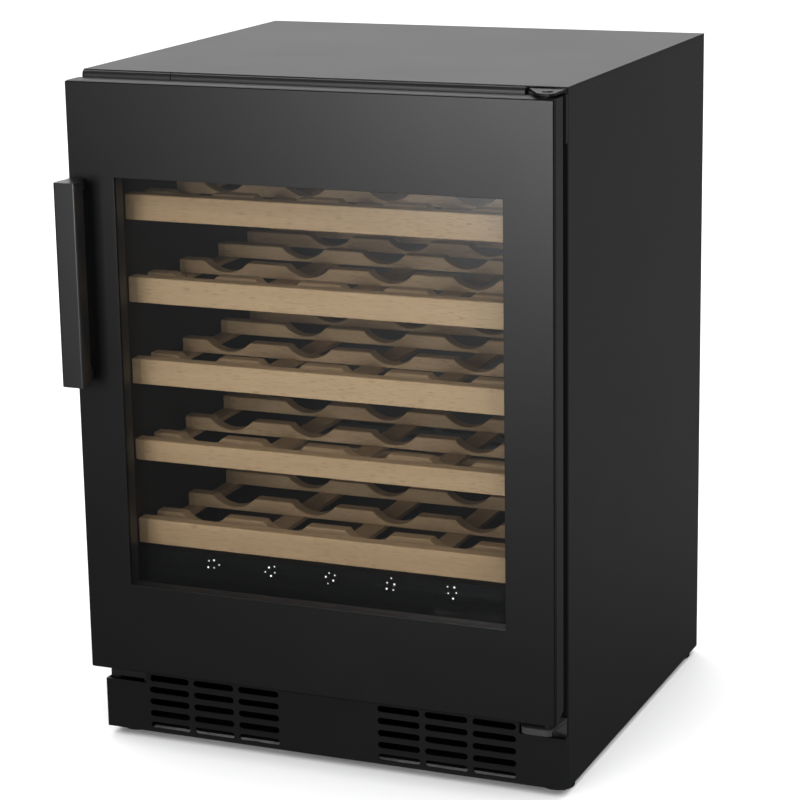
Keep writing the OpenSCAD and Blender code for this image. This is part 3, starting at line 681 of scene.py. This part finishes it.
def pane(node):
    low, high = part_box(node)
    piece(node + "_pane", rounded_block(low, high, 0.4 * MM, axis=1), node)


def shelf_board(number):
    """A front board: a rounded section carried along X, with a fine groove at the joint of each end strip."""
    node = f"shelf_{number}_board"
    low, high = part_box(node)
    radius, strip, groove = 1.6 * MM, 12 * MM, 0.5 * MM
    turn = np.linspace(0, math.pi / 2, 4)
    ends = radius * (1 - np.cos(turn))
    end_inset = radius * (1 - np.sin(turn))
    joint = np.array([strip - groove, strip - groove / 2, strip, strip + groove / 2, strip + groove])
    joint_inset = np.array([0, groove, groove, groove, 0]) * 0.8
    along = np.concatenate([ends, joint])
    inset = np.concatenate([end_inset, joint_inset])
    along = np.concatenate([low.x + along, (high.x - along)[::-1]])
    inset = np.concatenate([inset, inset[::-1]])
    middle = np.array([(low.y + high.y) / 2, (low.z + high.z) / 2])
    rows = []
    for x, drawn_in in zip(along, inset):
        outline = ring((high.y - low.y) / 2 - drawn_in, (high.z - low.z) / 2 - drawn_in, radius, 3) + middle
        rows.append(np.stack([np.full(len(outline), x), outline[:, 0], outline[:, 1]], axis=1))
    piece(node + "_wood", skin(np.array(rows)), node)


def scalloped_bar(low, high, centres, cradle, steps=160):
    """A cross bar whose top is cut by cylinders: top = min(high, axis - sqrt(cradle^2 - (x - centre)^2)), carried
    along X as a section with eased edges."""
    x = np.linspace(low[0], high[0], steps)
    axis_z = low[2] + 4 * MM + cradle
    gap = np.abs(x[:, None] - np.array(centres)[None]).min(1)
    cut = axis_z - np.sqrt(np.clip(cradle ** 2 - gap ** 2, 0, None))
    top = np.where(gap < cradle, np.minimum(cut, high[2]), high[2])
    ease = 1.0 * MM
    y0, y1 = low[1], high[1]
    section = [(y0 + ease, 0, 0), (y1 - ease, 0, 0), (y1, ease, 0), (y1, -ease, 1), (y1 - ease, 0, 1),
               (y0 + ease, 0, 1), (y0, -ease, 1), (y0, ease, 0)]
    points = np.array([np.stack([x, np.full(steps, y), np.where(upper, top, low[2]) + shift], axis=1)
                       for y, shift, upper in section])
    return skin(points.transpose(1, 0, 2))


def shelf_rack(number):
    """Five battens from front to back, four scalloped cross bars and a rear bar."""
    node = f"shelf_{number}_rack"
    low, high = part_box(node)
    ease = 1 * MM
    batten_top = low.z + 6 * MM
    pitch, cradle = 108.7 * MM, 38.5 * MM
    half = high.x
    shapes = [rounded_block((x0, low.y, low.z), (x1, high.y, batten_top), ease)
              for x0, x1 in ((-half, -half + 20 * MM), (-pitch - 14 * MM, -pitch + 14 * MM),
                             (-14 * MM, 14 * MM),
                             (pitch - 14 * MM, pitch + 14 * MM), (half - 20 * MM, half))]
    bar_x = half - 2.5 * MM
    for start, shift in ((26, -0.25), (110, -0.25), (216, 0.25), (300, 0.25)):
        y = low.y + start * MM
        centres = [(k - 1.5 + shift) * pitch for k in range(4)]
        shapes.append(scalloped_bar((-bar_x, y, batten_top), (bar_x, y + 18 * MM, high.z), centres, cradle))
    shapes.append(rounded_block((-bar_x, high.y - 12 * MM, batten_top), (bar_x, high.y, high.z), ease,
                  axis=0))
    piece(node + "_wood", together(*shapes), node, smooth=30)


def levelling_foot(node):
    """A rubber pad with a ribbed rim, a spanner hexagon and a threaded stud."""
    low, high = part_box(node)
    middle = ((low.x + high.x) / 2, (low.y + high.y) / 2, low.z)
    pad = [(0, 0), (18.2, 0), (19.6, 0.6), (20, 1.4), (20, 2.6), (19.4, 3.0), (19.4, 3.4), (20, 3.8),
           (20, 5.2),
           (19.4, 6.4), (18.0, 7.0), (16.8, 7.2), (16.6, 8.6), (16, 9.0), (0, 9.0)]
    shapes = [turned(np.array(pad) * MM, middle, steps=64)]
    angle = np.linspace(0, 2 * math.pi, 6, endpoint=False)
    nut = np.stack([middle[0] + 9 * MM * np.cos(angle), middle[1] + 9 * MM * np.sin(angle)], axis=1)
    shapes.append(extruded(nut, low.z + 8.5 * MM, low.z + 12 * MM, axis=2, edge=0.4 * MM))
    pitch, steps = 1.5 * MM, 24
    along = np.arange(low.z + 11 * MM, high.z - 0.2 * MM, pitch / 6)
    around = np.linspace(0, 2 * math.pi, steps, endpoint=False)
    phase = (along[:, None] / pitch - around[None] / (2 * math.pi)) % 1
    radius = 5 * MM - 0.7 * MM * np.abs(2 * phase - 1)
    stud = np.stack([middle[0] + radius * np.cos(around), middle[1] + radius * np.sin(around),
                     np.repeat(along[:, None], steps, axis=1)], axis=2)
    shapes.append(skin(stud))
    piece(node + "_moulding", together(*shapes), node)


def pan_head(centre, radius, height, facing, steps=32):
    """A domed screw head with a cross recess: a height map over a disc, dome minus the cross."""
    reach = np.concatenate([np.linspace(0, 1, 12), [1.0]])
    angle = np.linspace(0, 2 * math.pi, steps, endpoint=False)
    a, b = np.outer(reach, np.cos(angle)), np.outer(reach, np.sin(angle))
    dome = height * (0.45 + 0.55 * np.sqrt(np.clip(1 - reach ** 2, 0, 1)))[:, None]
    cross = (np.minimum(np.abs(a), np.abs(b)) < 0.11) & (np.maximum(np.abs(a), np.abs(b)) < 0.55)
    rise = np.where(cross, dome - height * 0.45, dome)
    rise[-1] = 0
    points = np.stack([centre[0] + radius * a, centre[1] + facing * rise, centre[2] + radius * b], axis=2)
    return skin(points)


def screws():
    """The visible screws: two in the lower bracket and eight in the back panel."""
    bracket_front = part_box("bottom_hinge_bracket")[1].y - 3 * MM
    heads = [pan_head((x, bracket_front, 0.084), 5 * MM, 2.4 * MM, -1) for x in (0.252, 0.278)]
    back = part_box("cabinet_screws")[1].y - 1.1 * MM
    heads += [pan_head((x, back, z), 4 * MM, 1.1 * MM, 1)
              for x in (-0.270, 0.270) for z in (0.060, 0.300, 0.540, 0.780)]
    piece("screw_heads", together(*heads), "cabinet_screws", smooth=30)


def fan_rotor(node, axis, throat):
    """A hub and seven cambered blades: each blade's section turns and narrows from hub to tip."""
    low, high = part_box(node)
    middle = (np.array(low) + np.array(high)) / 2
    hub, depth = 18 * MM, 15 * MM
    along_axis = np.eye(3)[axis]
    first, second = [np.eye(3)[a] for a in range(3) if a != axis]
    start = low[axis]
    profile = [(0, 0), (hub - 2 * MM, 0), (hub, 2 * MM), (hub, depth), (2 * MM, depth),
               (2 * MM, high[axis] - start),
               (0, high[axis] - start)]
    centre = middle.copy()
    centre[axis] = start
    shapes = [turned(profile, centre, axis=axis)]
    reach = np.linspace(hub - 1 * MM, throat - 3 * MM, 9)
    share = (reach - reach[0]) / (reach[-1] - reach[0])
    chord = (15 + 7 * share) * MM
    twist = np.radians(48 - 22 * share)
    t = np.linspace(0, 2 * math.pi, 16, endpoint=False)
    across = np.cos(t) / 2
    camber = 0.10 * (1 - (2 * across) ** 2) + 0.035 * np.sin(t)
    sweep = np.radians(14) * share
    for blade in range(7):
        turn = 2 * math.pi * blade / 7 + sweep
        u = chord[:, None] * across[None]
        v = chord[:, None] * camber[None]
        sideways = u * np.cos(twist)[:, None] - v * np.sin(twist)[:, None]
        forwards = u * np.sin(twist)[:, None] + v * np.cos(twist)[:, None]
        outward = np.cos(turn)[:, None] * first + np.sin(turn)[:, None] * second
        tangent = -np.sin(turn)[:, None] * first + np.cos(turn)[:, None] * second
        points = (centre + (depth / 2) * along_axis + outward[:, None] * reach[:, None, None]
                  + tangent[:, None] * sideways[:, :, None] + along_axis * forwards[:, :, None])
        shapes.append(skin(points))
    piece(node + "_wheel", together(*shapes), node)


def touch_icons():
    """Five generic touch marks, each a loose ring of five printed dots: radius 6.5 + 1.8 cos(2.3 n + k). The dots are
    given the light bar's glowing lens finish, so they shine as painted glints.
    """
    front, lift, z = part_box("control_fascia")[0].y, 0.25 * MM, 226.5 * MM
    shapes = []
    for k in range(5):
        x = (-4.2 + (k - 2) * 77.3) * MM
        for n in range(5):
            angle, reach = 1.257 * n + 0.9 * k, (6.5 + 1.8 * math.cos(2.3 * n + k)) * MM
            dot = (0.85 + 0.35 * (n % 2)) * MM
            centre = (x + reach * math.cos(angle), front - lift, z + reach * math.sin(angle))
            shapes.append(turned([(0, 0), (dot * 0.9, 0), (dot, lift * 0.3), (dot, lift), (0, lift)],
                          centre, 1, 12))
    # painted glints: the printed dots take the lamp lens finish and glow with its emission
    piece("touch_icons", together(*shapes), body="cabinet", slot="lamp_lens")


def hinge_pins():
    """Both pins, each with a chamfered tip, and the upper one with a domed rivet head."""
    low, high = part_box("hinge_pins")
    x, y = (low.x + high.x) / 2, (low.y + high.y) / 2
    top, r = high.z, 4 * MM
    upper = [(0, -23.5), (3, -23.5), (4, -22.5), (4, -1.5), (6, -1.5), (6, -0.7), (4.6, -0.1), (0, 0)]
    lower = [(0, 0), (4, 0), (4, 3), (8, 3), (8, 5.6), (7.6, 6.2), (4, 6.2), (4, 21), (3, 22), (0, 22)]
    shapes = [turned(np.array(upper) * MM, (x, y, top)), turned(np.array(lower) * MM, (x, y, low.z))]
    piece("hinge_pins_turned", together(*shapes), "hinge_pins")


def compressor():
    """The welded pot: two drawn halves with a seam, a foot plate and the terminal cover."""
    low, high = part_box("compressor")
    grommet_low, grommet_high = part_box("compressor_grommets")
    x, y = (grommet_low.x + grommet_high.x) / 2, (grommet_low.y + grommet_high.y) / 2
    tall = high.z - low.z
    quarter = np.linspace(0, math.pi / 2, 9)
    bottom = [(math.sin(q) * 0.060, 0.030 - 0.026 * math.cos(q)) for q in quarter]
    upper = [(math.cos(q) * 0.060, tall - 0.048 + 0.048 * math.sin(q)) for q in quarter]
    seam = [(0.060, 0.060), (0.0635, 0.061), (0.0635, 0.065), (0.060, 0.066)]
    pot = turned(bottom + seam + upper, (x, y, low.z), steps=64)
    plates = [rounded_block((x + a, y - 0.052, low.z), (x + b, y + 0.052, low.z + 3 * MM), 0.8 * MM)
              for a, b in ((-0.090, -0.050), (0.050, 0.090))]
    plates.append(rounded_block((x - 0.06, y - 0.014, low.z), (x + 0.06, y + 0.014, low.z + 6 * MM),
                  0.8 * MM))
    cover = rounded_block((x - 0.026, y - 0.074, low.z + 0.050), (x + 0.026, y - 0.05, low.z + 0.094),
                          4 * MM, arc=4)
    piece("compressor_pot", together(pot, cover, *plates), "compressor")


def pipes():
    """Copper lines with eased bends, along the same runs as the rigid ones."""
    grommet_low, grommet_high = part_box("compressor_grommets")
    cx, cy = (grommet_low.x + grommet_high.x) / 2, (grommet_low.y + grommet_high.y) / 2
    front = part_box("condenser_coil")[0].y + 45 * MM
    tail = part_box("filter_drier")
    rear = cy + 90 * MM
    runs = [([(cx - 0.060, cy, 0.06), (cx - 0.082, cy, 0.06), (cx - 0.082, cy - 0.11, 0.06),
              (-0.068, cy - 0.11, 0.10), (-0.068, front, 0.10), (-0.078, front, 0.10)], 3),
            ([(cx, cy + 0.058, 0.08), (cx, rear, 0.08), (cx, rear, 0.19)], 4),
            ([(-0.256, front, 0.04), (-0.27, front, 0.04), (-0.27, tail[0].y + 2 * MM, 0.04)], 3),
            ([(-0.27, tail[1].y - 2 * MM, 0.04), (-0.27, rear, 0.04), (-0.06, rear, 0.19)], 2)]
    shapes = [tube(bend_corners(points, 18 * MM), radius * MM) for points, radius in runs]
    piece("copper_lines", together(*shapes), "refrigerant_pipes")


def everything_else():
    """Eased copies of the folded, moulded and pierced CAD pieces."""
    for node, width in (("door_frame", 0.6), ("plinth_grille", 0.5), ("front_frame", 0.25),
                        ("back_panel", 0.35),
                        ("top_hinge_plate", 0.5), ("bottom_hinge_bracket", 0.5),
                        ("corner_brackets", 0.8), ("evaporator_cover", 0.5), ("control_console", 0.6),
                        ("shelf_rails_left", 0.4), ("shelf_rails_right", 0.4), ("carbon_filter", 0.8),
                        ("temperature_sensor", 0.6), ("evaporator_fan_frame", 0.5),
                        ("condenser_fan_shroud", 0.5),
                        ("drip_tray", 0.5), ("electronics_box", 1.0), ("power_inlet", 0.4), ("light_bar",
                                                                                             0.8),
                        ("control_fascia", 0.3), ("inner_liner", 1.0), ("hinge_bushes", 0.3),
                        ("glass_spacer", 0.3),
                        ("compressor_grommets", 0.8), ("filter_drier", 0.8), ("handle_screws", 0.4)):
        softened(node, width * MM)
    softened("base_pan", 0.4 * MM).data.materials[0] = finishes["pan_paint"]


camera()
studio()
for name, node in frame["nodes"].items():
    node.data.materials.clear()
    node.data.materials.append(finishes[slot_of[name]])

side_panels()
top_panel()
top_trim()
door_skin()
gasket()
handle()
pane("outer_glass")
pane("inner_glass")
for number in range(1, 6):
    shelf_board(number)
    shelf_rack(number)
for corner in ("front_left", "front_right", "rear_left", "rear_right"):
    levelling_foot("foot_" + corner)
screws()
hinge_pins()
fan_rotor("evaporator_fan_rotor", 1, 56 * MM)
fan_rotor("condenser_fan_rotor", 0, 54 * MM)
touch_icons()
compressor()
pipes()
everything_else()
